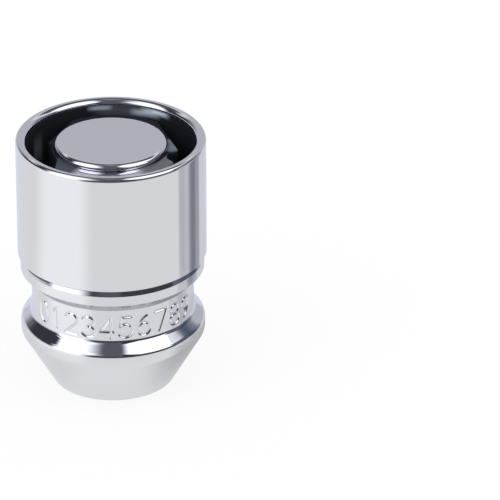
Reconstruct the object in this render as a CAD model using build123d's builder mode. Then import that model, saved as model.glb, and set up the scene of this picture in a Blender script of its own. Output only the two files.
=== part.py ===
"""Locking wheel nut: a one-piece chromed nut body with a lobed key post, and a sleeve that
spins freely round it so that only the matching key can turn the nut.

Millimetres, +Z up. The nut stands on its nose: z = 0 is the nose face, and the key end is up.
The front of the nut faces -Y, and bearings count from the front towards +X.
"""

import os
from math import cos, radians, sin, tan

from build123d import *

# Spinning sleeve: its outside sets the radii below it, its bore those inside it
sleeve_diameter = 23.6
sleeve_wall = 1.2
sleeve_length = 15.6
foot_chamfer = 0.35
lip_inner_chamfer = 0.4
lip_outer_chamfer = 0.25
sleeve_clearance = 0.08
sleeve_float = 0.1

# Collar that carries the sleeve, set in from the sleeve's outside
collar_step = 0.3
collar_band = 1.9
collar_lower_chamfer = 0.15
collar_bevel_in = 0.3
collar_bevel_down = 0.65

# Neck: a waist between two sloping flanks
neck_depth = 1.35
neck_length = 4.25
flank_angle = 45.0

# Wheel seat: the widest band, the cone below it and the nose land
bulge_step = 0.25
bulge_band = 1.65
bulge_chamfer = 0.25
cone_angle = 60.0
nose_diameter = 15.3
nose_chamfer = 0.3
nose_land = 1.05

# Threaded bore, drawn at the thread's minor diameter
thread_minor_diameter = 10.4
thread_end = 19.0
drill_point_angle = 118.0
mouth_depth = 2.0
mouth_chamfer = 0.2
lead_in_angle = 45.0

# Key end: cup floor, lobed post, and the flat disc that closes the post
cup_depth = 8.5
key_wall_room = 1.6
disc_step = 2.0
disc_height = 0.6
disc_edge_radius = 0.45
disc_below_rim = 0.55
disc_under_chamfer = 0.1
disc_groove_depth = 0.6
disc_groove_height = 0.2
lobe_corner_radius = 0.25
lobe_top_chamfer = 0.12

# Valleys milled down the key post
small_cutter_radius = 1.8
small_valley_depth = 1.65
small_valley_bearing = 73.0
large_cutter_radius = 2.6
large_valley_depth = 1.5
large_valley_bearing = 180.0
flat_depth = 1.28
flat_bearings = (109.0, 246.0)
wide_valley_depth = 1.65
wide_valley_from = 267.0
wide_valley_to = 298.0
wide_valley_flare = 22.0
cutter_overrun = 1.8

# Spring ring that keeps the sleeve on
ring_height = 0.9
ring_width = 1.0
ring_engagement = 0.45
ring_gap = 2.5
ring_above_collar = 2.5
ring_play = 0.05
ring_squeeze_room = 0.1
sleeve_groove_room = 0.1

# Closest match when an edge is picked by its radius and height
edge_match = 0.01

# Radii that follow from the sizes above
sleeve_radius = sleeve_diameter / 2
sleeve_bore_radius = sleeve_radius - sleeve_wall
barrel_radius = sleeve_bore_radius - sleeve_clearance
collar_radius = sleeve_radius - collar_step
neck_radius = collar_radius - neck_depth
bulge_radius = sleeve_radius - bulge_step
nose_radius = nose_diameter / 2
mouth_radius = nose_radius - nose_land
thread_radius = thread_minor_diameter / 2
lobe_radius = sleeve_bore_radius - key_wall_room
disc_radius = lobe_radius - disc_step
ring_outer_radius = sleeve_bore_radius + ring_engagement
ring_inner_radius = ring_outer_radius - ring_width
barrel_groove_radius = sleeve_bore_radius - ring_width - ring_squeeze_room
sleeve_groove_radius = ring_outer_radius + sleeve_groove_room

# Levels, from the nose up
cone_top = (bulge_radius - nose_radius) / tan(radians(cone_angle / 2))
bulge_top = cone_top + bulge_band
neck_bottom = bulge_top + (bulge_radius - neck_radius) * tan(radians(flank_angle))
neck_top = neck_bottom + neck_length
collar_bottom = neck_top + neck_depth * tan(radians(flank_angle))
collar_top = collar_bottom + collar_band
sleeve_bottom = collar_top + sleeve_float
sleeve_top = sleeve_bottom + sleeve_length
cup_floor = sleeve_top - cup_depth
disc_top = sleeve_top - disc_below_rim
disc_bottom = disc_top - disc_height
lobe_top = disc_bottom - disc_groove_height
lead_in_top = mouth_depth + (mouth_radius - thread_radius) / tan(radians(lead_in_angle))
drill_tip = thread_end + thread_radius / tan(radians(drill_point_angle / 2))
ring_bottom = collar_top + ring_above_collar
ring_top = ring_bottom + ring_height


def on_bearing(radius, bearing):
    """Point at a radius, on a bearing from the front towards +X."""
    return (radius * sin(radians(bearing)), -radius * cos(radians(bearing)))


def round_edges(part, radius, height):
    """Circular edges of a part with this radius at this height."""
    return [
        edge
        for edge in part.edges().filter_by(GeomType.CIRCLE)
        if abs(edge.radius - radius) < edge_match and abs(edge.center().Z - height) < edge_match
    ]


def mill_valley(cutter, depth, bearing):
    """Cuts one round valley into the post's outline, down to the given depth."""
    with PolarLocations(lobe_radius - depth + cutter, 1, start_angle=bearing - 90):
        Circle(cutter, mode=Mode.SUBTRACT)


# Nut body: seat, neck, collar and barrel turned in one, the post left standing in the cup
with BuildPart() as nut_body:
    with BuildSketch(Plane.XZ):
        with BuildLine():
            Polyline(
                (0, 0),
                (nose_radius, 0),
                (bulge_radius, cone_top),
                (bulge_radius, bulge_top),
                (neck_radius, neck_bottom),
                (neck_radius, neck_top),
                (collar_radius, collar_bottom),
                (collar_radius, collar_top - collar_bevel_down),
                (collar_radius - collar_bevel_in, collar_top),
                (barrel_radius, collar_top),
                (barrel_radius, cup_floor),
                (0, cup_floor),
                close=True,
            )
        make_face()
    revolve(axis=Axis.Z)
    chamfer(round_edges(nut_body.part, nose_radius, 0), nose_chamfer)
    chamfer(round_edges(nut_body.part, bulge_radius, cone_top), bulge_chamfer)
    chamfer(round_edges(nut_body.part, bulge_radius, bulge_top), bulge_chamfer)
    chamfer(round_edges(nut_body.part, collar_radius, collar_bottom), collar_lower_chamfer)

    # Groove for the spring ring
    with BuildSketch(Plane.XZ):
        with BuildLine():
            Polyline(
                (barrel_groove_radius, ring_bottom - ring_play),
                (sleeve_bore_radius, ring_bottom - ring_play),
                (sleeve_bore_radius, ring_top + ring_play),
                (barrel_groove_radius, ring_top + ring_play),
                close=True,
            )
        make_face()
    revolve(axis=Axis.Z, mode=Mode.SUBTRACT)

    # Lobed key post: a round post with uneven valleys, two flats and one wide valley
    with BuildSketch(Plane.XY.offset(cup_floor)):
        Circle(lobe_radius)
        mill_valley(small_cutter_radius, small_valley_depth, small_valley_bearing)
        mill_valley(large_cutter_radius, large_valley_depth, large_valley_bearing)
        for flat_bearing in flat_bearings:
            with PolarLocations(lobe_radius - flat_depth, 1, start_angle=flat_bearing - 90):
                Rectangle(
                    flat_depth + cutter_overrun,
                    2 * lobe_radius,
                    align=(Align.MIN, Align.CENTER),
                    mode=Mode.SUBTRACT,
                )
        with BuildLine():
            valley_floor = lobe_radius - wide_valley_depth
            valley_mouth = lobe_radius + cutter_overrun
            valley_middle = (wide_valley_from + wide_valley_to) / 2
            floor = ThreePointArc(
                on_bearing(valley_floor, wide_valley_from),
                on_bearing(valley_floor, valley_middle),
                on_bearing(valley_floor, wide_valley_to),
            )
            mouth = ThreePointArc(
                on_bearing(valley_mouth, wide_valley_from - wide_valley_flare),
                on_bearing(valley_mouth, valley_middle),
                on_bearing(valley_mouth, wide_valley_to + wide_valley_flare),
            )
            Line(floor @ 0, mouth @ 0)
            Line(floor @ 1, mouth @ 1)
        make_face(mode=Mode.SUBTRACT)
    extrude(amount=lobe_top - cup_floor)
    post_corners = nut_body.edges().filter_by(Axis.Z).filter_by_position(Axis.Z, cup_floor, lobe_top)
    fillet(post_corners, lobe_corner_radius)
    post_crown = nut_body.faces().sort_by(Axis.Z)[-1]
    chamfer(post_crown.edges(), lobe_top_chamfer)

    # Neck groove and the disc that closes the post
    with BuildSketch(Plane.XY.offset(lobe_top)):
        Circle(disc_radius - disc_groove_depth)
    extrude(amount=disc_groove_height)
    with BuildSketch(Plane.XY.offset(disc_bottom)):
        Circle(disc_radius)
    extrude(amount=disc_height)
    fillet(round_edges(nut_body.part, disc_radius, disc_top), disc_edge_radius)
    chamfer(round_edges(nut_body.part, disc_radius, disc_bottom), disc_under_chamfer)

    # Blind bore: mouth, lead-in, thread wall and drill point
    with BuildSketch(Plane.XZ):
        with BuildLine():
            Polyline(
                (0, 0),
                (mouth_radius, 0),
                (mouth_radius, mouth_depth),
                (thread_radius, lead_in_top),
                (thread_radius, thread_end),
                (0, drill_tip),
                close=True,
            )
        make_face()
    revolve(axis=Axis.Z, mode=Mode.SUBTRACT)
    chamfer(round_edges(nut_body.part, mouth_radius, 0), mouth_chamfer)

nut_body.part.label = "nut_body"


# Sleeve: a plain tube with its lip and foot chamfered, and the ring's groove inside
with BuildPart() as spin_sleeve:
    with BuildSketch(Plane.XZ):
        with BuildLine():
            Polyline(
                (sleeve_bore_radius, sleeve_bottom),
                (sleeve_radius, sleeve_bottom),
                (sleeve_radius, sleeve_top),
                (sleeve_bore_radius, sleeve_top),
                close=True,
            )
        make_face()
    revolve(axis=Axis.Z)
    chamfer(round_edges(spin_sleeve.part, sleeve_radius, sleeve_bottom), foot_chamfer)
    chamfer(round_edges(spin_sleeve.part, sleeve_bore_radius, sleeve_top), lip_inner_chamfer)
    chamfer(round_edges(spin_sleeve.part, sleeve_radius, sleeve_top), lip_outer_chamfer)
    with BuildSketch(Plane.XZ):
        with BuildLine():
            Polyline(
                (barrel_radius, ring_bottom - sleeve_float),
                (sleeve_groove_radius, ring_bottom - sleeve_float),
                (sleeve_groove_radius, ring_top + sleeve_float),
                (barrel_radius, ring_top + sleeve_float),
                close=True,
            )
        make_face()
    revolve(axis=Axis.Z, mode=Mode.SUBTRACT)

spin_sleeve.part.label = "spin_sleeve"


# Spring ring: split at the back so that it can be squeezed into the barrel's groove
with BuildPart() as retaining_ring:
    with BuildSketch(Plane.XY.offset(ring_bottom)):
        Circle(ring_outer_radius)
        Circle(ring_inner_radius, mode=Mode.SUBTRACT)
        with Locations((0, ring_outer_radius)):
            Rectangle(ring_gap, 2 * ring_outer_radius, mode=Mode.SUBTRACT)
    extrude(amount=ring_height)

retaining_ring.part.label = "retaining_ring"


os.makedirs("parts", exist_ok=True)
export_step(nut_body.part, "parts/nut_body.step")
export_step(spin_sleeve.part, "parts/spin_sleeve.step")
export_step(retaining_ring.part, "parts/retaining_ring.step")
print(f"height {sleeve_top:.2f}, sleeve {sleeve_diameter:.2f} across, thread wall from {lead_in_top:.2f}")
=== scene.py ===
import bpy
import numpy as np
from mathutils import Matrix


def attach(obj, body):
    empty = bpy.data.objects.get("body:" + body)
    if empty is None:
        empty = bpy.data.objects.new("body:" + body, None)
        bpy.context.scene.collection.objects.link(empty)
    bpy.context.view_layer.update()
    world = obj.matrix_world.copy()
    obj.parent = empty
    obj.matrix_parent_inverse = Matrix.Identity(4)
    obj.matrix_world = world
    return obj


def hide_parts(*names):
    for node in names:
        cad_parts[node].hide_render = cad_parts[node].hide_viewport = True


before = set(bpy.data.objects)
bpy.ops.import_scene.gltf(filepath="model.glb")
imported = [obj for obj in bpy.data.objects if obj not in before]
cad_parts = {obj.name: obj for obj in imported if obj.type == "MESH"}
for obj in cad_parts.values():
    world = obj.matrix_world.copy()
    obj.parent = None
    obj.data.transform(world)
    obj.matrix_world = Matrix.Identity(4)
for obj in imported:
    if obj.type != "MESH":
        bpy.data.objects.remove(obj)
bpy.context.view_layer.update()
print("frame loaded:", ", ".join(sorted(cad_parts)))

mm = 0.001  # sizes below are in millimetres, bearings in degrees from the front towards +X
turn = 360.0


# Ramp from 0 at low to 1 at high, level at both ends
def easeIn(value, low, high):
    share = np.clip((value - low) / (high - low), 0.0, 1.0)
    return share * share * (3.0 - 2.0 * share)


def unit(arrows):
    return arrows / np.linalg.norm(arrows, axis=-1, keepdims=True)


# Turned outline from corners (radius, height, rounding). Each corner becomes an arc that touches both
# of its lines: its centre lies on the bisector, rounding / sin(half angle) away from the corner.
# One more point on each line, just off the arc, keeps the straight stretch straight when shaded.
def turnedLine(corners, steps, loop=False):
    guard, guardShare = 0.04, 0.48  # how far off the arc, and at most how much of the straight stretch
    table = np.array(corners, float)
    corner, rounding = table[:, None, :2], table[:, None, 2:]
    toNext = np.roll(corner, -1, axis=0) - corner
    ahead, back = unit(toNext), -np.roll(unit(toNext), 1, axis=0)
    half = np.arccos(np.sum(back * ahead, axis=-1, keepdims=True)) / 2.0
    bend = np.pi - 2.0 * half
    reach = rounding / np.tan(half)
    straight = np.linalg.norm(toNext, axis=-1, keepdims=True) - reach - np.roll(reach, -1, axis=0)
    gap = np.minimum(guard, guardShare * straight)
    centre = corner + unit(back + ahead) * rounding / np.sin(half)
    share = np.linspace(0.0, 1.0, steps + 1)[None, :, None]
    armIn, armOut = corner + back * reach - centre, corner + ahead * reach - centre
    arc = centre + (np.sin((1.0 - share) * bend) * armIn + np.sin(share * bend) * armOut) / np.sin(bend)
    guardIn = corner + back * (reach + np.roll(gap, 1, axis=0))
    guardOut = corner + ahead * (reach + gap)
    line = np.concatenate([guardIn, arc, guardOut], axis=1)
    if loop:
        return line.reshape(-1, 2)
    return np.vstack([table[:1, :2], line[1:-1].reshape(-1, 2), table[-1:, :2]])


# Same line with every run longer than its step cut into equal shorter ones
def divideRuns(line, step):
    runs = np.diff(line, axis=0)
    count = np.ceil(np.linalg.norm(runs, axis=1) / step).astype(int)
    first = np.repeat(np.cumsum(count) - count, count)
    share = (np.arange(count.sum()) - first) / np.repeat(count, count)
    points = np.repeat(line[:-1], count, axis=0) + share[:, None] * np.repeat(runs, count, axis=0)
    return np.vstack([points, line[-1:]])


# Closed surface from a grid of radii and heights: rows along the outline, columns round the axis.
# The last column joins the first. A loop joins its last row to its first, and an open outline is
# closed by a fan to one point on the axis at each end, at the heights in tips.
def turnedPiece(name, bearings, radii, heights, tips=None):
    rows, columns = radii.shape
    angle = np.radians(bearings)[None, :]
    spots = np.stack([radii * np.sin(angle), -radii * np.cos(angle), heights + 0.0 * angle], axis=-1)
    spots = spots.reshape(-1, 3)
    index = np.arange(rows * columns).reshape(rows, columns)
    lower, upper = (index, np.roll(index, -1, axis=0)) if tips is None else (index[:-1], index[1:])
    quads = np.stack([lower, np.roll(lower, -1, 1), np.roll(upper, -1, 1), upper], axis=-1)
    faces = quads.reshape(-1, 4).tolist()
    if tips is not None:
        spots = np.vstack([spots, [(0.0, 0.0, tips[0]), (0.0, 0.0, tips[1])]])
        start, end = np.full(columns, rows * columns), np.full(columns, rows * columns + 1)
        faces += np.stack([start, np.roll(index[0], -1), index[0]], axis=-1).tolist()
        faces += np.stack([index[-1], np.roll(index[-1], -1), end], axis=-1).tolist()
    return meshPiece(name, spots * mm, faces)


def meshPiece(name, spots, faces):
    mesh = bpy.data.meshes.new(name)
    mesh.from_pydata(spots.tolist(), [], faces)
    mesh.polygons.foreach_set("use_smooth", np.ones(len(mesh.polygons), bool))
    mesh.update()
    piece = bpy.data.objects.new(name, mesh)
    bpy.context.scene.collection.objects.link(piece)
    print(f"{name}: {len(mesh.vertices)} points, {len(mesh.polygons)} faces")
    return piece


# One socket of a node tree. Arithmetic on it adds Math nodes, and make adds any other node.
class Wire:
    def __init__(self, tree, socket=None):
        self.tree, self.socket = tree, socket

    def make(self, kind, settings=None, inputs=None):
        node = self.tree.nodes.new(kind)
        for key, value in (settings or {}).items():
            setattr(node, key, value)
        for key, value in (inputs or {}).items():
            if isinstance(value, Wire):
                self.tree.links.new(value.socket, node.inputs[key])
            else:
                node.inputs[key].default_value = value
        return Wire(self.tree, node.outputs[0] if node.outputs else None)

    def out(self, name):
        return Wire(self.tree, self.socket.node.outputs[name])

    def math(self, operation, first, second):
        return self.make("ShaderNodeMath", {"operation": operation}, {0: first, 1: second})

    def __add__(self, other):
        return self.math("ADD", self, other)

    def __sub__(self, other):
        return self.math("SUBTRACT", self, other)

    def __mul__(self, other):
        return self.math("MULTIPLY", self, other)

    def __pow__(self, other):
        return self.math("POWER", self, other)

    def __radd__(self, other):
        return self.math("ADD", other, self)

    def __rsub__(self, other):
        return self.math("SUBTRACT", other, self)

    def __rmul__(self, other):
        return self.math("MULTIPLY", other, self)

    def ease(self, low, high):  # 0 at low, 1 at high, smooth between
        return self.make(
            "ShaderNodeMapRange",
            {"interpolation_type": "SMOOTHSTEP"},
            {"Value": self, "From Min": low, "From Max": high},
        )

    def past(self, reach):  # the same ramp, with its two ends given in millimetres
        return self.ease(reach[0] * mm, reach[1] * mm)

    def blend(self, *colours):  # colour mix, this value being the share of the second
        first, second = (colour if isinstance(colour, Wire) else (*colour, 1.0) for colour in colours)
        return self.make(
            "ShaderNodeMix", {"data_type": "RGBA"}, {"Factor": self, 6: first, 7: second}
        ).out(2)


def startMaterial(name):
    material = bpy.data.materials.new(name)
    material.use_nodes = True
    material.node_tree.nodes.clear()
    return material, Wire(material.node_tree)


def noise(start, spot, grain):  # grain is the noise's scale and its detail
    inputs = {"Vector": spot, "Scale": grain[0], "Detail": grain[1]}
    return start.make("ShaderNodeTexNoise", None, inputs).out("Fac")


# Bright plating: even smudges, faint polishing rings round the axis, and a dark skin of painted shade with
# pale patches of painted reflection on it. Both mask functions take radius and height in metres, and a
# function that ramps up towards a bearing, between two cosines of the angle from it.
def plating(name, look, paintedShadeWhere, paintedReflectionWhere):
    material, start = startMaterial(name)
    spot = start.make("ShaderNodeTexCoord").out("Object")
    axes = start.make("ShaderNodeSeparateXYZ", None, {0: spot})
    x, y, z = axes.out("X"), axes.out("Y"), axes.out("Z")
    radius = (x * x + y * y) ** 0.5

    def towards(bearing, low, high):
        angle = np.radians(bearing)
        return ((x * np.sin(angle) - y * np.cos(angle)) * radius**-1.0).ease(low, high)

    # Painted shade mask, and painted reflections broken up by noise
    paintedShade = paintedShadeWhere(radius, z, towards)
    blotch = noise(start, spot, look["blotch"]).ease(*look["blotchReach"])
    paintedReflection = paintedReflectionWhere(radius, z, towards) * blotch
    smudge = noise(start, spot, look["smudge"])
    ringSpot = start.make("ShaderNodeCombineXYZ", None, {0: radius, 2: z})
    rings = noise(start, ringSpot, look["ring"]) * look["ringHeight"]
    swell = noise(start, spot, look["swell"]) * look["swellHeight"]
    bump = start.make("ShaderNodeBump", None, {"Strength": 1.0, "Distance": 1.0, "Height": swell + rings})
    bright = start.make(
        "ShaderNodeBsdfPrincipled",
        None,
        {
            "Base Color": (*look["tint"], 1.0),
            "Metallic": 1.0,
            "Roughness": look["gloss"] + smudge * look["smudgeBlur"] + paintedShade * look["paintedShadeBlur"],
            "Normal": bump,
        },
    )
    # Dark diffuse coat that carries the painted shade and the painted reflections
    skin = start.make(
        "ShaderNodeBsdfPrincipled",
        None,
        {
            "Base Color": paintedReflection.blend(look["paintedShadeTint"], look["paintedReflectionTint"]),
            "Roughness": look["paintedShadeGloss"],
            "Specular IOR Level": look["paintedShadeShine"],
        },
    )
    both = start.make("ShaderNodeMixShader", None, {0: paintedShade, 1: bright, 2: skin})
    start.make("ShaderNodeOutputMaterial", None, {"Surface": both})
    return material


platingLook = {
    "tint": (0.80, 0.805, 0.845),
    "gloss": 0.025,
    "smudge": (240.0, 4.0),
    "smudgeBlur": 0.03,
    "swell": (170.0, 1.0),
    "swellHeight": 2.0e-6,
    "ring": (9000.0, 2.0),
    "ringHeight": 1.5e-7,
    # Colour, gloss and sheen of the painted shade, the blur it adds to the bright plating, and the colour
    # and noise of the painted reflections
    "paintedShadeTint": (0.0175, 0.018, 0.024),
    "paintedShadeGloss": 0.3,
    "paintedShadeShine": 0.0,
    "paintedShadeBlur": 0.8,
    "paintedReflectionTint": (0.72, 0.84, 1.0),
    "blotch": (450.0, 1.0),
    "blotchReach": (-0.4, 0.7),
}


# Sleeve: a tube whose outline is one closed loop, with the ring's groove inside
sleeve = {
    "outer": 11.8,
    "bore": 10.6,
    "bottom": 17.405,
    "top": 33.005,
    "footChamfer": 0.16,
    "mouth": 10.5,  # bore above the barrel
    "mouthLow": 24.7,
    "mouthEdge": 0.02,
    "lipOuter": 0.46,
    "lipIn": 0.45,  # inner edge: a wide arc from the top, then a tighter one down the bore
    "lipDown": 0.38,
    "lipUpper": 0.75,
    "lipLower": 0.5,
    "grooveRadius": 11.15,
    "grooveLow": 19.705,
    "grooveHigh": 20.805,
    "edge": 0.06,
    "arcSteps": 8,
    "columns": 400,
}


def makeSleeve(size):
    outer, bore, mouth, edge = size["outer"], size["bore"], size["mouth"], size["edge"]
    corners = [
        (bore, size["bottom"], edge),
        (outer - size["footChamfer"], size["bottom"], edge),
        (outer, size["bottom"] + size["footChamfer"], edge),
        (outer, size["top"], size["lipOuter"]),
        (mouth + size["lipIn"], size["top"], size["lipUpper"]),
        (mouth, size["top"] - size["lipDown"], size["lipLower"]),
        (mouth, size["mouthLow"], size["mouthEdge"]),
        (bore, size["mouthLow"], size["mouthEdge"]),
        (bore, size["grooveHigh"], edge),
        (size["grooveRadius"], size["grooveHigh"], edge),
        (size["grooveRadius"], size["grooveLow"], edge),
        (bore, size["grooveLow"], edge),
    ]
    line = turnedLine(corners, size["arcSteps"], loop=True)
    bearings = np.arange(size["columns"]) * turn / size["columns"]
    flat = np.ones((1, size["columns"]))
    return turnedPiece("sleeveShell", bearings, line[:, :1] * flat, line[:, 1:])


# Painted shade in the bore and on the foot, as a dark skin: the radii or heights where it starts to change,
# and ends
sleeveShadeAndReflection = {
    "boreOut": (10.62, 10.8),
    "boreUp": (32.25, 32.4),
    "footUp": (17.42, 17.54),
    "patchCore": 0.2,  # share of a patch's reach that has its full strength
}
# Painted reflections in the bore, as pale patches: middle bearing and reach, middle height and reach, and
# strength
borePaintedReflections = [
    (149.0, 13.5, 31.97, 0.66, 0.75),
    (146.0, 7.0, 32.0, 0.35, 0.5),
    (157.0, 13.0, 31.5, 0.7, 0.5),
    (189.0, 10.0, 31.95, 0.5, 0.45),
    (175.0, 22.0, 31.6, 1.4, 0.1),
    (242.0, 7.5, 28.4, 3.0, 0.15),
]


# Painted shade in the bore and on the sleeve's foot
def sleeveShade(radius, z, towards):
    bore = (1.0 - radius.past(sleeveShadeAndReflection["boreOut"])) * (1.0 - z.past(sleeveShadeAndReflection["boreUp"]))
    return bore + (1.0 - z.past(sleeveShadeAndReflection["footUp"]))


# Painted reflections in the bore
def sleevePaintedReflection(radius, z, towards):
    def patch(bearing, reach, height, tall, strength):
        edge, core = np.cos(np.radians([reach, sleeveShadeAndReflection["patchCore"] * reach]))
        up, down = z.past((height - tall, height)), 1.0 - z.past((height, height + tall))
        return towards(bearing, edge, core) * up * down * strength

    return sum(patch(*place) for place in borePaintedReflections)


sleeveShell = makeSleeve(sleeve)
sleeveShell.data.materials.append(plating("sleevePlating", platingLook, sleeveShade, sleevePaintedReflection))
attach(sleeveShell, "sleeve")
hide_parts("spin_sleeve")


# Nut: bore, nose, seat cone, neck, collar and barrel on one outline, with numbers stamped in the neck.
# A name that ends in Edge is the rounding of a corner.
nut = {
    "tipRadius": 0.3,  # a fan closes the drill point from here
    "tipDrop": 0.18,
    "drillTip": 22.125,
    "boreTop": 19.0,
    "threadMinor": 5.2,
    "threadMajor": 6.0,
    "boreEdge": 0.05,
    "leadInEdge": 0.1,
    "mouth": 6.6,
    "mouthDepth": 2.0,
    "mouthEdge": 0.2,
    "nose": 7.65,
    "noseEdge": 0.22,
    "bulge": 11.55,
    "coneTop": 6.755,
    "coneEdge": 1.0,
    "bulgeTop": 8.36,
    "bulgeEdge": 0.85,
    "neck": 10.15,
    "neckLow": 9.6,
    "neckLowEdge": 0.95,
    "neckHigh": 14.055,
    "neckHighEdge": 0.22,
    "collar": 11.5,
    "collarLow": 15.405,
    "collarEdge": 0.18,
    "collarHigh": 17.305,
    "bevelIn": 0.3,
    "bevelDown": 0.65,
    "bevelLowEdge": 0.15,
    "bevelHighEdge": 0.08,
    "barrel": 10.52,
    "barrelEdge": 0.02,
    "ringGroove": 9.5,
    "ringLow": 19.755,
    "ringHigh": 20.755,
    "ringEdge": 0.05,
    "cupFloor": 24.5,
    "cupEdge": 0.15,
    "cupInner": 1.0,  # a fan closes the cup's floor from here
    "noseSplit": 0.5,  # the outline is drawn in three parts, with finer arcs where it shows
    "collarSplit": 0.1,
    "splitGap": 0.02,
    "plainSteps": 1,
    "fineSteps": 7,
    "longestRun": 10.0,
}
numbers = {
    "middle": 4.0,  # bearing of the row's middle
    "middleDigit": 4.5,
    "pitch": 2.36,
    "base": 10.28,
    "height": 2.8,
    "cellWidth": 0.6,  # as a share of the height
    "halfWidth": 0.21,  # of a stroke
    "depth": 0.16,
    "arcPoints": 25,
    "rowStep": 0.066,
    "from": -66.0,
    "to": 74.0,
    "fineColumns": 380,
    "coarseColumns": 130,
    "batches": 16,  # the strokes are measured in batches to save memory
    "match": 0.01,
}
# Strokes of 0 to 9 in a cell 0.6 wide and 1 high: corner lists, or arcs as
# (centre x, centre y, half width, half height, from, to) with angles from +x
digitLines = [
    (1, [(0.10, 0.80), (0.34, 1.00), (0.34, 0.00)]),
    (2, [(0.546, 0.528), (0.00, 0.00), (0.60, 0.00)]),
    (4, [(0.46, 0.00), (0.46, 1.00), (0.00, 0.30), (0.62, 0.30)]),
    (5, [(0.54, 1.00), (0.09, 1.00), (0.05, 0.55)]),
    (7, [(0.00, 1.00), (0.60, 1.00), (0.20, 0.00)]),
]
digitArcs = [
    (0, 0.30, 0.50, 0.30, 0.50, 0, 360),
    (2, 0.30, 0.70, 0.30, 0.30, 160, -35),
    (3, 0.28, 0.745, 0.27, 0.255, 150, -80),
    (3, 0.28, 0.27, 0.31, 0.27, 85, -150),
    (5, 0.27, 0.33, 0.32, 0.33, 125, -150),
    (6, 0.30, 0.31, 0.29, 0.31, 0, 360),
    (6, 0.62, 0.33, 0.61, 0.67, 180, 108),
    (8, 0.30, 0.75, 0.25, 0.25, 0, 360),
    (8, 0.30, 0.265, 0.30, 0.265, 0, 360),
    (9, 0.30, 0.69, 0.29, 0.31, 0, 360),
    (9, -0.02, 0.67, 0.61, 0.67, 0, -72),
]


# Every stroke as short straight segments on the unrolled neck: along it, and up from the nose
def numberSegments(size, radius):
    paths = [(digit, np.array(corners)) for digit, corners in digitLines]
    for digit, middleX, middleY, halfX, halfY, first, last in digitArcs:
        angle = np.radians(np.linspace(first, last, size["arcPoints"]))
        path = np.stack([middleX + halfX * np.cos(angle), middleY + halfY * np.sin(angle)], axis=-1)
        paths.append((digit, path))
    middle = np.radians(size["middle"]) * radius - size["cellWidth"] / 2.0 * size["height"]
    placed = [
        path * size["height"] + (middle + (digit - size["middleDigit"]) * size["pitch"], size["base"])
        for digit, path in paths
    ]
    return np.vstack([path[:-1] for path in placed]), np.vstack([path[1:] for path in placed])


# Depth of the stamping: a round-bottomed groove, half a cosine wave across, measured by the
# distance from each point to its nearest stroke
def stampDepth(along, up, size, radius):
    starts, ends = numberSegments(size, radius)
    spots = np.stack([along, up], axis=-1).reshape(-1, 1, 2)
    nearest = np.full(len(spots), np.inf)
    for part in np.array_split(np.arange(len(starts)), size["batches"]):
        run = ends[part] - starts[part]
        share = np.clip(np.sum((spots - starts[part]) * run, -1) / np.sum(run * run, -1), 0.0, 1.0)
        away = np.linalg.norm(spots - starts[part] - share[..., None] * run, axis=-1)
        nearest = np.minimum(nearest, away.min(axis=1))
    share = np.clip(nearest / size["halfWidth"], 0.0, 1.0).reshape(along.shape)
    return size["depth"] * 0.5 * (1.0 + np.cos(np.pi * share))


def nutOutline(size):
    mouth, collar, barrel, groove = size["mouth"], size["collar"], size["barrel"], size["ringGroove"]
    inside = [
        (size["tipRadius"], size["drillTip"] - size["tipDrop"], 0.0),
        (size["threadMinor"], size["boreTop"], size["boreEdge"]),
        (size["threadMajor"], size["boreTop"], size["boreEdge"]),
        (size["threadMajor"], size["mouthDepth"] + mouth - size["threadMajor"], size["leadInEdge"]),
        (mouth, size["mouthDepth"], size["leadInEdge"]),
        (mouth, 0.0, size["mouthEdge"]),
        (mouth + size["noseSplit"], 0.0, 0.0),
    ]
    outside = [
        (mouth + size["noseSplit"] + size["splitGap"], 0.0, 0.0),
        (size["nose"], 0.0, size["noseEdge"]),
        (size["bulge"], size["coneTop"], size["coneEdge"]),
        (size["bulge"], size["bulgeTop"], size["bulgeEdge"]),
        (size["neck"], size["neckLow"], size["neckLowEdge"]),
        (size["neck"], size["neckHigh"], size["neckHighEdge"]),
        (collar, size["collarLow"], size["collarEdge"]),
        (collar, size["collarHigh"] - size["bevelDown"], size["bevelLowEdge"]),
        (collar - size["bevelIn"], size["collarHigh"], size["bevelHighEdge"]),
        (barrel + size["collarSplit"], size["collarHigh"], 0.0),
    ]
    underSleeve = [
        (barrel + size["collarSplit"] - size["splitGap"], size["collarHigh"], 0.0),
        (barrel, size["collarHigh"], size["barrelEdge"]),
        (barrel, size["ringLow"], size["ringEdge"]),
        (groove, size["ringLow"], size["ringEdge"]),
        (groove, size["ringHigh"], size["ringEdge"]),
        (barrel, size["ringHigh"], size["ringEdge"]),
        (barrel, size["cupFloor"], size["cupEdge"]),
        (size["cupInner"], size["cupFloor"], 0.0),
    ]
    plain, fine = size["plainSteps"], size["fineSteps"]
    return np.vstack([turnedLine(inside, plain), turnedLine(outside, fine), turnedLine(underSleeve, plain)])


def makeNut(size, marks):
    neck, low = size["neck"], marks["base"] - marks["halfWidth"]
    high = marks["base"] + marks["height"] + marks["halfWidth"]

    def stamped(points):  # on the neck's wall, between the foot and the top of the numbers
        height = points[:, 1]
        return (abs(points[:, 0] - neck) < marks["match"]) & (height > low) & (height < high)

    line = nutOutline(size)
    middles = (line[:-1] + line[1:]) / 2.0
    line = divideRuns(line, np.where(stamped(middles), marks["rowStep"], size["longestRun"]))
    fine = np.linspace(marks["from"], marks["to"], marks["fineColumns"] + 1)
    coarse = np.linspace(marks["to"], marks["from"] + turn, marks["coarseColumns"] + 1)
    bearings = np.concatenate([fine, coarse[1:-1]])
    radii, heights = np.repeat(line[:, :1], len(bearings), axis=1), line[:, 1:]
    rows = stamped(line)
    along = np.radians(fine)[None, :] * neck + 0.0 * heights[rows]
    up = heights[rows] + 0.0 * along
    radii[np.ix_(rows, np.arange(len(fine)))] -= stampDepth(along, up, marks, neck)
    return turnedPiece("nutShell", bearings, radii, heights, (size["drillTip"], size["cupFloor"]))
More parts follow.
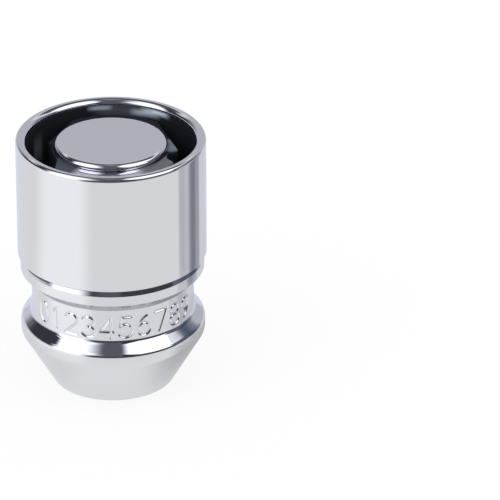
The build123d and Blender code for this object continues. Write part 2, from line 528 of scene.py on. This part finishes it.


# Painted shade, as a dark skin, on the cup's floor, the post's wall and most of its ledge, a little under
# the collar, a painted shadow line along the collar's top, and two painted reflections on the ledge.
# Heights and radii are where it starts to change and ends, bearings come with the cosines between which
# they ramp up, a share is the strength there.
bodyShadeAndReflection = {
    "cupUp": (23.5, 24.3),
    "ledgeUp": (31.45, 31.6),
    "ledgeFront": (19.0, 0.58, 0.70),  # the ledge stays bright here
    "ledgeRight": (75.0, 0.60, 0.77),  # and less so here
    "rightShare": 0.66,
    "hollow": (80.0, 0.64, 0.91),  # shaded right of the disc
    "hollowOut": (7.15, 7.4),
    "hollowUp": (31.84, 31.98),
    "discUp": (31.68, 31.76),
    "underFrom": (14.0, 14.2),
    "underTo": (15.2, 15.4),
    "underShare": 0.28,
    # Painted shadow line along the collar's top, under the sleeve's foot
    "gapShadow": (-53.0, 0.970, 0.985),
    "gapShadowFrom": (16.88, 16.97),
    "gapShadowTo": (17.4, 17.6),
    "gapShadowShare": 0.8,
    # Two painted reflections on the ledge
    "paintedReflectionUp": (31.3, 31.5),
    "paintedReflectionRight": (93.0, 0.96, 0.99),
    "paintedReflectionRightShare": 0.2,
    "paintedReflectionLeft": (-46.0, 0.93, 0.98),
    "paintedReflectionLeftShare": 0.07,
}


# Painted shade in the cup, on the ledge, under the collar and along the collar's top
def bodyShade(radius, z, towards):
    skin = bodyShadeAndReflection
    hollow = towards(*skin["hollow"])
    front = towards(*skin["ledgeFront"]) * (1.0 - skin["rightShare"] * towards(*skin["ledgeRight"]))
    front = front * (1.0 - hollow * (1.0 - radius.past(skin["hollowOut"]))) * z.past(skin["ledgeUp"])
    disc = z.past(skin["discUp"]) * (1.0 - hollow * (1.0 - z.past(skin["hollowUp"])))
    under = z.past(skin["underFrom"]) * (1.0 - z.past(skin["underTo"]))
    gapShadow = towards(*skin["gapShadow"]) * z.past(skin["gapShadowFrom"]) * (1.0 - z.past(skin["gapShadowTo"]))
    cup = z.past(skin["cupUp"]) * (1.0 - disc) * (1.0 - front)
    return cup + skin["underShare"] * under + skin["gapShadowShare"] * gapShadow


# Painted reflections on the ledge
def bodyPaintedReflection(radius, z, towards):  # two patches on the ledge
    right = bodyShadeAndReflection["paintedReflectionRightShare"] * towards(*bodyShadeAndReflection["paintedReflectionRight"])
    left = bodyShadeAndReflection["paintedReflectionLeftShare"] * towards(*bodyShadeAndReflection["paintedReflectionLeft"])
    return (right + left) * z.past(bodyShadeAndReflection["paintedReflectionUp"])


bodyPlating = plating("bodyPlating", platingLook, bodyShade, bodyPaintedReflection)
nutShell = makeNut(nut, numbers)
nutShell.data.materials.append(bodyPlating)
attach(nutShell, "nut")
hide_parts("nut_body")


# Key post: lobed wall, flat ledge, narrow groove and the round-edged disc on top
post = {
    "lobe": 9.0,
    "foot": 24.2,
    "top": 31.655,
    "cornerSmooth": 0.75,  # degrees
    "edge": 0.12,
    "edgePoints": 5,
    "wallRows": (3.0, 0.04),  # rows of the wall, by their depth below its edge
    "ledgeStart": 0.03,  # first row of the ledge, in from its edge
    "ledgeShares": (0.15, 0.9),  # first and last of its other rows, as shares of the way to the groove
    "ledgeRows": 4,
    "ledgeEnd": 0.12,  # that way ends this far out from the groove
    "groove": 6.4,
    "grooveStart": 0.09,
    "grooveEdge": 0.02,
    "disc": 7.07,
    "discLow": 31.72,
    "discHigh": 32.455,
    "discEdge": 0.62,
    "discUnder": 0.02,
    "discInner": 0.5,  # a fan closes the disc from here
    "discSteps": 10,
    "smallCutter": 1.8,
    "smallDepth": 1.65,
    "smallBearing": 73.0,
    "largeCutter": 2.6,
    "largeDepth": 1.5,
    "largeBearing": 180.0,
    "flatDepth": 1.42,
    "flatBearings": (109.0, 246.0),
    "flatReach": 0.5,  # cosine of the angle at which a flat surely has left the post
    "wideDepth": 1.65,
    "wideFrom": 267.0,
    "wideTo": 298.0,
    "wideFlare": 22.0,
    "overrun": 1.8,
    "samples": 7200,
    "columns": 640,
}


# Where a ray from the axis first meets a round cutter: centre distance times cosine, less the half chord
def cutterEdge(bearings, bearing, cutter, root):
    off = np.radians(bearings - bearing)
    chord = cutter**2 - ((root + cutter) * np.sin(off)) ** 2
    met = (chord > 0.0) & (np.cos(off) > 0.0)
    return np.where(met, (root + cutter) * np.cos(off) - np.sqrt(np.maximum(chord, 0.0)), np.inf)


# Where a ray from the axis meets the straight side between two points given as (bearing, radius)
def sideEdge(bearings, first, last):
    tiny = 1e-9
    span = np.radians(last[0] - first[0])
    ahead, behind = np.radians(bearings - first[0]), np.radians(last[0] - bearings)
    met = (ahead * behind >= 0.0) & (abs(ahead) <= abs(span))
    under = first[1] * np.sin(ahead) + last[1] * np.sin(behind)
    crossing = first[1] * last[1] * np.sin(span) / np.where(met & (abs(under) > tiny), under, 1.0)
    return np.where(met, crossing, np.inf)


# Post outline: the least radius left by all the cuts, its corners rounded by a narrow bell-shaped
# average, and its columns spread evenly along it
def postOutline(size):
    bearings = np.linspace(0.0, turn, size["samples"], endpoint=False)
    lobe = size["lobe"]
    cuts = [np.full(len(bearings), lobe)]
    for kind in ("small", "large"):
        root = lobe - size[kind + "Depth"]
        cuts.append(cutterEdge(bearings, size[kind + "Bearing"], size[kind + "Cutter"], root))
    for bearing in size["flatBearings"]:
        across = np.cos(np.radians(bearings - bearing))
        flat = (lobe - size["flatDepth"]) / np.maximum(across, size["flatReach"])
        cuts.append(np.where(across > size["flatReach"], flat, np.inf))
    floor, rim = lobe - size["wideDepth"], lobe + size["overrun"]
    start, end, flare = size["wideFrom"], size["wideTo"], size["wideFlare"]
    cuts.append(np.where((bearings > start) & (bearings < end), floor, np.inf))
    cuts.append(sideEdge(bearings, (start - flare, rim), (start, floor)))
    cuts.append(sideEdge(bearings, (end, floor), (end + flare, rim)))
    radius = np.min(cuts, axis=0)
    away = np.minimum(bearings, turn - bearings) / size["cornerSmooth"]
    bell = np.exp(-0.5 * away**2)
    radius = np.fft.irfft(np.fft.rfft(radius) * np.fft.rfft(bell / bell.sum()), len(radius))
    slope = np.gradient(radius, np.radians(bearings))
    length = np.concatenate([[0.0], np.cumsum(np.hypot(slope, radius))])
    spread = np.linspace(0.0, length[-1], size["columns"], endpoint=False)
    chosen = np.interp(spread, length, np.append(bearings, turn))
    return chosen, np.interp(chosen, bearings, radius, period=turn)


def makePost(size):
    bearings, outline = postOutline(size)
    edge, groove, top = size["edge"], size["groove"], size["top"]
    quarter = np.radians(np.linspace(0.0, 90.0, size["edgePoints"]))
    wallTop = top - edge
    wallRows = [size["foot"], *(wallTop - depth for depth in size["wallRows"])]
    wallHeights = np.concatenate([wallRows, wallTop + edge * np.sin(quarter), [top]])
    rounded = edge * (1.0 - np.cos(quarter))
    inset = np.concatenate([np.zeros(len(wallRows)), rounded, [edge + size["ledgeStart"]]])
    wall = outline[None, :] - inset[:, None]
    inward = np.linspace(*size["ledgeShares"], size["ledgeRows"])[:, None]
    ledge = wall[-1:] * (1.0 - inward) + (groove + size["ledgeEnd"]) * inward
    disc = turnedLine(
        [
            (groove + size["grooveStart"], top, 0.0),
            (groove, top, size["grooveEdge"]),
            (groove, size["discLow"], size["grooveEdge"]),
            (size["disc"], size["discLow"], size["discUnder"]),
            (size["disc"], size["discHigh"], size["discEdge"]),
            (size["discInner"], size["discHigh"], 0.0),
        ],
        size["discSteps"],
    )
    flat = np.ones((1, len(bearings)))
    radii = np.vstack([wall, ledge, disc[:, :1] * flat])
    heights = np.concatenate([wallHeights, np.full(len(ledge), top), disc[:, 1]])[:, None]
    return turnedPiece("keyPost", bearings, radii, heights, (size["foot"], size["discHigh"]))


keyPost = makePost(post)
keyPost.data.materials.append(bodyPlating)
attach(keyPost, "nut")


# Thread: a 60 degree ridge wound up the bore, cut back by the lead-in at the mouth
thread = {
    "minor": 5.2,
    "major": 6.0,
    "outside": 6.2,
    "pitch": 1.5,
    "halfCrest": 0.125,  # in pitches, as is the flank
    "flank": 0.3125,
    "low": 2.65,
    "high": 19.1,
    "leadIn": 8.6,  # lead-in radius plus height
    "rowsPerPitch": 16,
    "columns": 160,
}


# Radius goes from minor at the crest to major at the root, in straight flanks between short flats;
# the ridge climbs one pitch for each turn
def makeThread(size):
    rows = int((size["high"] - size["low"]) / size["pitch"] * size["rowsPerPitch"])
    heights = np.linspace(size["high"], size["low"], rows)[:, None]
    bearings = np.arange(size["columns"]) * turn / size["columns"]
    phase = (heights / size["pitch"] - bearings[None, :] / turn) % 1.0
    fromCrest = np.minimum(phase, 1.0 - phase)
    rise = np.clip((fromCrest - size["halfCrest"]) / size["flank"], 0.0, 1.0)
    radii = size["minor"] + (size["major"] - size["minor"]) * rise
    radii = np.clip(np.maximum(radii, size["leadIn"] - heights), None, size["major"])
    outside = np.full((2, size["columns"]), size["outside"])
    outsideHeights = np.array([[size["low"]], [size["high"]]])
    return turnedPiece(
        "boreThread", bearings, np.vstack([radii, outside]), np.vstack([heights, outsideHeights])
    )


# Plain steel: soft patches of another tint and gloss, and a fine grain
def brightSteel(name, look):
    material, start = startMaterial(name)
    spot = start.make("ShaderNodeTexCoord").out("Object")
    patches = noise(start, spot, look["patch"])
    grain = noise(start, spot, look["grain"]) * look["grainHeight"]
    bump = start.make("ShaderNodeBump", None, {"Distance": 1.0, "Height": grain})
    shader = start.make(
        "ShaderNodeBsdfPrincipled",
        None,
        {
            "Base Color": patches.ease(*look["patchReach"]).blend(look["tint"], look["patchTint"]),
            "Metallic": 1.0,
            "Roughness": look["gloss"] + patches * look["patchGloss"],
            "Normal": bump,
        },
    )
    start.make("ShaderNodeOutputMaterial", None, {"Surface": shader})
    return material


boreLook = {
    "tint": (0.62, 0.55, 0.47),
    "gloss": 0.10,
    "patch": (420.0, 5.0),
    "patchReach": (0.35, 0.65),
    "patchTint": (0.50, 0.45, 0.40),
    "patchGloss": 0.18,
    "grain": (5000.0, 2.0),
    "grainHeight": 1.5e-6,
}
springLook = {
    "tint": (0.45, 0.45, 0.47),
    "gloss": 0.22,
    "patch": (600.0, 5.0),
    "patchReach": (0.35, 0.65),
    "patchTint": (0.34, 0.34, 0.36),
    "patchGloss": 0.25,
    "grain": (4000.0, 2.0),
    "grainHeight": 2.0e-6,
}
boreThread = makeThread(thread)
boreThread.data.materials.append(brightSteel("boreSteel", boreLook))
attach(boreThread, "nut")

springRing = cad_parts["retaining_ring"]
springRing.data.materials.clear()
springRing.data.materials.append(brightSteel("springSteel", springLook))
print("object dressed")


# Camera at the photograph's viewing angle. The spot on the axis at targetHeight falls on targetPixel
# of a picture 500 pixels wide.
viewpoint = {
    "tilt": 27.4,
    "distance": 620.0,
    "pixelsPerRadian": 4960.0,
    "frameWidth": 500.0,
    "sensor": 36.0,
    "targetHeight": 16.0,
    "targetPixel": (112.43, 258.95),
}


def makeCamera(size):
    tilt = np.radians(size["tilt"])
    ahead = np.array([0.0, np.cos(tilt), -np.sin(tilt)])
    up = np.array([0.0, np.sin(tilt), np.cos(tilt)])
    perPixel = size["distance"] / size["pixelsPerRadian"]
    across = (size["targetPixel"][0] - size["frameWidth"] / 2.0) * perPixel
    above = (size["frameWidth"] / 2.0 - size["targetPixel"][1]) * perPixel
    target = np.array([0.0, 0.0, size["targetHeight"]])
    place = target - ahead * size["distance"] - up * above - np.array([across, 0.0, 0.0])
    lens = bpy.data.cameras.new("camera")
    lens.sensor_width = size["sensor"]
    lens.lens = size["pixelsPerRadian"] * size["sensor"] / size["frameWidth"]
    camera = bpy.data.objects.new("camera", lens)
    camera.location = place * mm
    camera.rotation_euler = (np.pi / 2.0 - tilt, 0.0, 0.0)
    bpy.context.scene.collection.objects.link(camera)
    bpy.context.scene.camera = camera


makeCamera(viewpoint)
print("camera placed")


# Studio: a white sweep, whose glow as the plating sees it holds painted light and shade, soft lamps, and
# panels that show only in the plating. A name that ends in Reach, From or To gives where a ramp starts and
# ends.
studio = {
    "white": (1.0, 1.0, 1.0),
    "ambient": 0.85,
    "floorHalf": 1500.0,
    "floorPaper": (0.9, 0.9, 0.9, 1.0),
    "floorGlow": 0.86,  # share of the floor's white that doesn't depend on the lamps
    "floorShade": 0.77,  # level of the floor away from the lit side, as the plating shows it
    "litFrom": (-101.0, -73.0),
    "litTo": (-37.0, -17.0),
    "backShade": 0.10,  # how much darker it gets behind the nut's right side
    "backFrom": (100.0, 120.0),
    "backTo": (148.0, 165.0),
    "nearShade": 0.84,  # its level close to the nut
    "nearReach": (20.0, 30.0),
    "rightShade": 0.40,  # how much darker it gets close to the nut's right side
    "rightReach": (3.0, 13.0),
    "leftShade": 0.09,  # and to its left side
    "leftReach": (-4.0, -9.0),
    "sideReach": (-14.0, -6.0),  # neither side shade reaches the front
    "darkShade": 0.06,  # the floor's dark far side, as the plating shows it
    "darkFrom": (-38.0, -28.0),
    "darkTo": (78.0, 92.0),
    "darkReach": (77.0, 88.0),
    "behindReach": (0.45, 0.75),  # cosine from straight behind, where the floor looks bluer
    "behindTint": (0.92, 0.96, 1.10),
    "panelDistance": 460.0,
    "panelStep": 4.0,  # how much nearer each panel is than the one before, which it covers
    "panelPoints": 41,  # along each side
    "panelTint": (0.96, 0.965, 1.04, 1.0),
    "gapTint": (0.88, 0.93, 1.14, 1.0),
    "gapLevel": 0.4,  # panels up to this level take the gap's tint
}
# Panels by the azimuths they fill, how far up they go (from, to at the left edge, to at the right edge),
# their level, and how far their left edge, right edge, and top and bottom fade
panels = [
    ("leftBox", (-99.0, -20.0), (-4.0, 78.0, 78.0), 1.40, (4.0, 6.0, 6.0)),
    ("rightBox", (20.0, 104.0), (4.0, 78.0, 78.0), 1.40, (6.0, 6.0, 6.0)),
    ("frontGap", (-44.0, 30.0), (-8.0, 33.0, 33.0), 0.065, (22.0, 16.0, 9.0)),
    ("rightLow", (6.0, 42.0), (-8.0, 72.0, 18.0), 0.05, (8.0, 4.0, 6.0)),
    ("rightFoot", (30.0, 107.0), (-8.0, 28.0, 14.0), 0.05, (8.0, 6.0, 4.0)),
    ("rightSide", (75.0, 116.0), (-8.0, 37.0, 40.0), 0.15, (6.0, 4.0, 8.0)),
    ("backTop", (105.0, 260.0), (42.0, 89.0, 89.0), 0.10, (8.0, 8.0, 8.0)),
    ("backWall", (112.0, 230.0), (-8.0, 46.0, 46.0), 0.54, (8.0, 8.0, 8.0)),
    ("leftLow", (-165.0, -72.0), (-8.0, 22.0, 22.0), 0.72, (30.0, 6.0, 6.0)),
    ("leftBehind", (-160.0, -74.5), (6.5, 45.0, 45.0), 0.045, (38.0, 8.0, 12.0)),
    ("leftSide", (-125.0, -87.0), (6.5, 62.0, 62.0), 0.045, (15.0, 6.0, 12.0)),
    ("rightBehind", (105.0, 137.0), (-8.0, 41.0, 41.0), 0.19, (10.0, 24.0, 10.0)),
]
# The gap over the nut is an arch: degrees to either side of it, and degrees up and over from the front
topGap = ("topGap", (-24.5, 14.0), (16.0, 96.0, 96.0), 0.12, (18.0, 7.5, 10.0))


# 1 for what the camera, plating or glass sees, 0 for light that only bounces; and 1 for the camera alone
def whenSeen(start):
    path = start.make("ShaderNodeLightPath")
    seen = path.out("Is Camera Ray") + path.out("Is Glossy Ray") + path.out("Is Transmission Ray")
    return seen.ease(0.0, 1.0), path.out("Is Camera Ray")


def makeWorld(size):
    world = bpy.data.worlds.new("studio")
    bpy.context.scene.world = world
    world.use_nodes = True
    world.node_tree.nodes.clear()
    start = Wire(world.node_tree)
    seen, _ = whenSeen(start)
    colour = (*size["white"], 1.0)
    light = start.make("ShaderNodeBackground", None, {"Color": colour, "Strength": size["ambient"]})
    white = start.make("ShaderNodeBackground", None, {"Color": colour, "Strength": 1.0})
    both = start.make("ShaderNodeMixShader", None, {0: seen, 1: light, 2: white})
    start.make("ShaderNodeOutputWorld", None, {"Surface": both})


def makeFloor(size):
    half = size["floorHalf"] * mm
    spots = np.array([(-half, -half, 0.0), (half, -half, 0.0), (half, half, 0.0), (-half, half, 0.0)])
    floor = meshPiece("floor", spots, [(0, 1, 2, 3)])
    material, start = startMaterial("sweep")
    spot = start.make("ShaderNodeTexCoord").out("Object")
    axes = start.make("ShaderNodeSeparateXYZ", None, {0: spot})
    x, y = axes.out("X"), axes.out("Y")
    radius = (x * x + y * y) ** 0.5
    azimuth = start.math("ARCTAN2", x, y * -1.0)

    def sector(first, last):  # 1 between two azimuths
        return azimuth.ease(*np.radians(first)) * (1.0 - azimuth.ease(*np.radians(last)))

    # Painted light and shade on the floor's glow, seen only in the plating: a lit sector, darker near the
    # nut's sides and behind its right side, a dark far side, and a bluer tint behind
    far = size["floorShade"] + (1.0 - size["floorShade"]) * sector(size["litFrom"], size["litTo"])
    far = far - size["backShade"] * sector(size["backFrom"], size["backTo"])
    sides = size["rightShade"] * x.past(size["rightReach"])
    sides = sides + size["leftShade"] * x.past(size["leftReach"])
    near = size["nearShade"] - sides * y.past(size["sideReach"])
    away = radius.past(size["nearReach"])
    level = near * (1.0 - away) + far * away
    dark = radius.past(size["darkReach"]) * sector(size["darkFrom"], size["darkTo"])
    level = level * (1.0 - dark) + size["darkShade"] * dark
    seen, byCamera = whenSeen(start)
    level = start.math("MAXIMUM", level, byCamera)
    behind = (y * radius**-1.0).ease(*size["behindReach"]) * (1.0 - byCamera)
    white = behind.blend(size["white"], size["behindTint"])
    black = (0.0, 0.0, 0.0)
    glow = start.make("ShaderNodeEmission", None, {"Color": level.blend(black, white)})
    paper = start.make("ShaderNodeBsdfDiffuse", None, {"Color": size["floorPaper"]})
    both = start.make("ShaderNodeMixShader", None, {0: seen * size["floorGlow"], 1: paper, 2: glow})
    start.make("ShaderNodeOutputMaterial", None, {"Surface": both})
    floor.data.materials.append(material)


def onlyInPlating(panel):
    panel.visible_camera = False
    panel.visible_diffuse = False
    panel.visible_shadow = False
    panel.visible_transmission = False


def glowMaterial(name, level, tint):
    material, start = startMaterial(name)
    fade = start.make("ShaderNodeAttribute", {"attribute_name": "fade"}).out("Fac")
    glow = start.make("ShaderNodeEmission", None, {"Color": tint, "Strength": level})
    clear = start.make("ShaderNodeBsdfTransparent")
    both = start.make("ShaderNodeMixShader", None, {0: fade, 1: clear, 2: glow})
    start.make("ShaderNodeOutputMaterial", None, {"Surface": both})
    return material


def makeSheet(name, spots, fade):
    index = np.arange(fade.size).reshape(fade.shape)
    faces = np.stack([index[:-1, :-1], index[:-1, 1:], index[1:, 1:], index[1:, :-1]], axis=-1)
    sheet = meshPiece(name, spots.reshape(-1, 3) * mm, faces.reshape(-1, 4).tolist())
    layer = sheet.data.attributes.new("fade", "FLOAT", "POINT")
    layer.data.foreach_set("value", fade.ravel().astype(np.float32))
    return sheet


# Patch of a sphere round the nut: azimuth along the rows, elevation up the columns. An arch has its
# pole at the side instead of overhead, so it keeps its width.
def makePanel(number, name, azimuths, elevations, level, soft, arched=False):
    points = studio["panelPoints"]
    azimuth, rise = np.meshgrid(np.linspace(*azimuths, points), np.linspace(0.0, 1.0, points))
    tall = np.interp(azimuth, azimuths, elevations[1:]) - elevations[0]
    height, depth = rise * tall, (1.0 - rise) * tall
    across, up = np.radians(azimuth), np.radians(elevations[0] + height)
    if arched:
        arrows = [np.sin(across), -np.cos(across) * np.cos(up), np.cos(across) * np.sin(up)]
    else:
        arrows = [np.sin(across) * np.cos(up), -np.cos(across) * np.cos(up), np.sin(up)]
    distance = studio["panelDistance"] - studio["panelStep"] * number
    left, right, ends = soft
    fade = easeIn(azimuth - azimuths[0], 0.0, left) * easeIn(azimuths[1] - azimuth, 0.0, right)
    fade = fade * easeIn(height, 0.0, ends) * easeIn(depth, 0.0, ends)
    panel = makeSheet(name, distance * np.stack(arrows, axis=-1), fade)
    tint = studio["panelTint" if level > studio["gapLevel"] else "gapTint"]
    panel.data.materials.append(glowMaterial(name, level, tint))
    onlyInPlating(panel)


# Upright veil beside the nut: part of a tube, denser and thinner in stripes by the angle round it,
# which the sleeve shows as an upright streak
veil = {
    "middle": (34.7, 3.2),
    "radius": 11.8,
    "bottom": 0.2,
    "top": 30.0,
    "level": 0.06,
    "tint": (0.55, 1.0, 1.9, 1.0),
    "angles": (-40.0, -26.0, -15.0, -2.0, 7.0, 14.7, 21.5, 27.0, 35.0, 42.0, 51.0, 63.0, 73.0, 85.0),
    "density": (0.20, 0.32, 0.47, 0.55, 0.75, 0.75, 0.60, 0.30, 0.28, 0.36, 0.37, 0.30, 0.12, 0.0),
    "footShare": 0.45,  # share of the density at the foot
    "footReach": (5.0, 10.0),
    "columns": 126,
    "rows": 31,
}


def makeVeil(size):
    columns = np.linspace(size["angles"][0], size["angles"][-1], size["columns"])
    angle, height = np.meshgrid(columns, np.linspace(size["bottom"], size["top"], size["rows"]))
    across = np.radians(angle)
    x = size["middle"][0] - size["radius"] * np.cos(across)
    y = size["middle"][1] - size["radius"] * np.sin(across)
    density = np.interp(angle, size["angles"], size["density"])
    share = size["footShare"] + (1.0 - size["footShare"]) * easeIn(height, *size["footReach"])
    panel = makeSheet("veil", np.stack([x, y, height], axis=-1), density * share)
    panel.data.materials.append(glowMaterial("veil", size["level"], size["tint"]))
    onlyInPlating(panel)


# Lamps as far, wide lights: where they stand, how wide they look in degrees, and their strength
lamps = [
    ("keyLamp", (-260.0, -260.0, 380.0), 50.0, 0.7),
    ("fillLamp", (280.0, -200.0, 380.0), 60.0, 0.5),
]


def makeLamp(name, place, width, strength):
    light = bpy.data.lights.new(name, "SUN")
    light.angle = np.radians(width)
    light.energy = strength
    lamp = bpy.data.objects.new(name, light)
    away = unit(np.array(place))
    lamp.location = np.array(place) * mm
    lamp.rotation_euler = (np.arccos(away[2]), 0.0, np.arctan2(away[0], -away[1]))
    lamp.visible_glossy = False
    bpy.context.scene.collection.objects.link(lamp)


makeWorld(studio)
makeFloor(studio)
for number, panel in enumerate(panels):
    makePanel(number, *panel)
makePanel(len(panels), *topGap, arched=True)
makeVeil(veil)
for lamp in lamps:
    makeLamp(*lamp)
print("studio set")

bpy.context.scene.view_settings.view_transform = "Standard"
